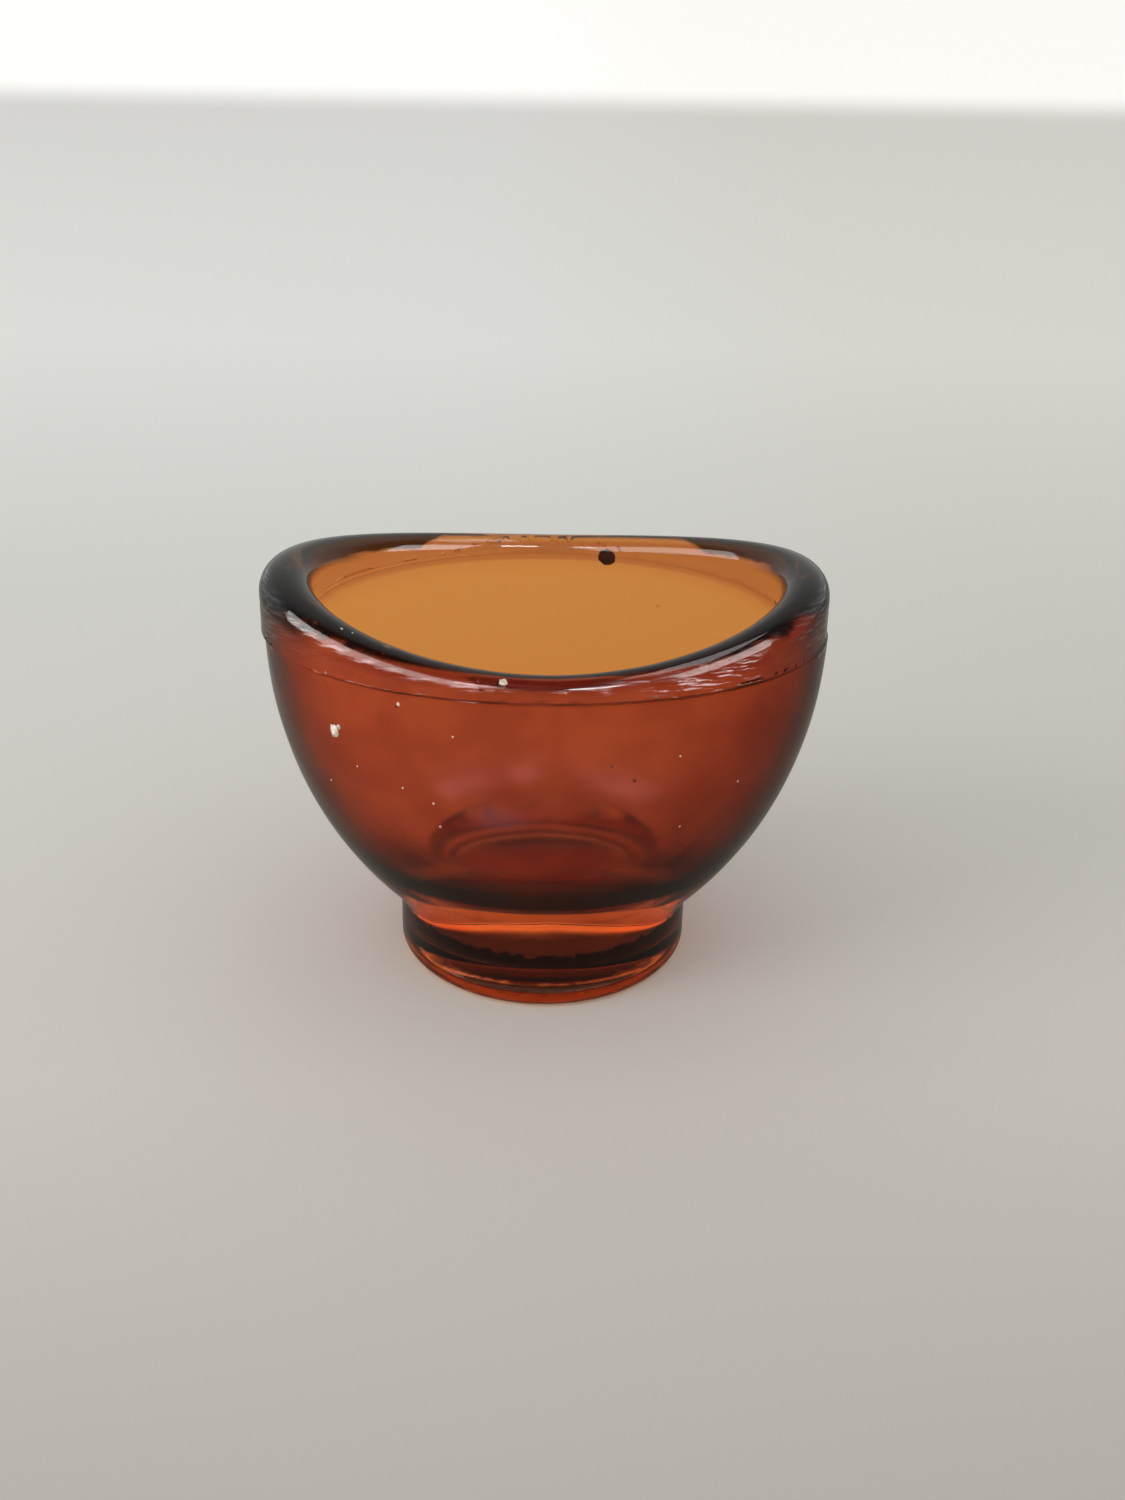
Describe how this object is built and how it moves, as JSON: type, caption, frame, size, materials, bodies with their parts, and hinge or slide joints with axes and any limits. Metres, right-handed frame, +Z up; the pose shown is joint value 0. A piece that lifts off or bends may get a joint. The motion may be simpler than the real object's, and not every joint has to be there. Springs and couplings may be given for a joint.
{
  "type": "eye bath",
  "caption": "Oval pressed-glass eye bath with a saddle-shaped rim that fits around the eye, a deep rounded bowl and a round foot to stand on.",
  "frame": {"origin": "on the table, in the middle of the foot's underside", "axes": "+X along the cup's long axis, +Y from the front to the back across its short axis, +Z up"},
  "size_m": [0.0603, 0.0418, 0.0453],
  "materials": {
    "amber_glass": "clear amber-brown pressed glass, fire-polished, with small bubbles and a rough mould line"
  },
  "bodies": {
    "root": {"rim": "amber_glass", "bowl": "amber_glass", "foot": "amber_glass"}
  },
  "joints": []
}
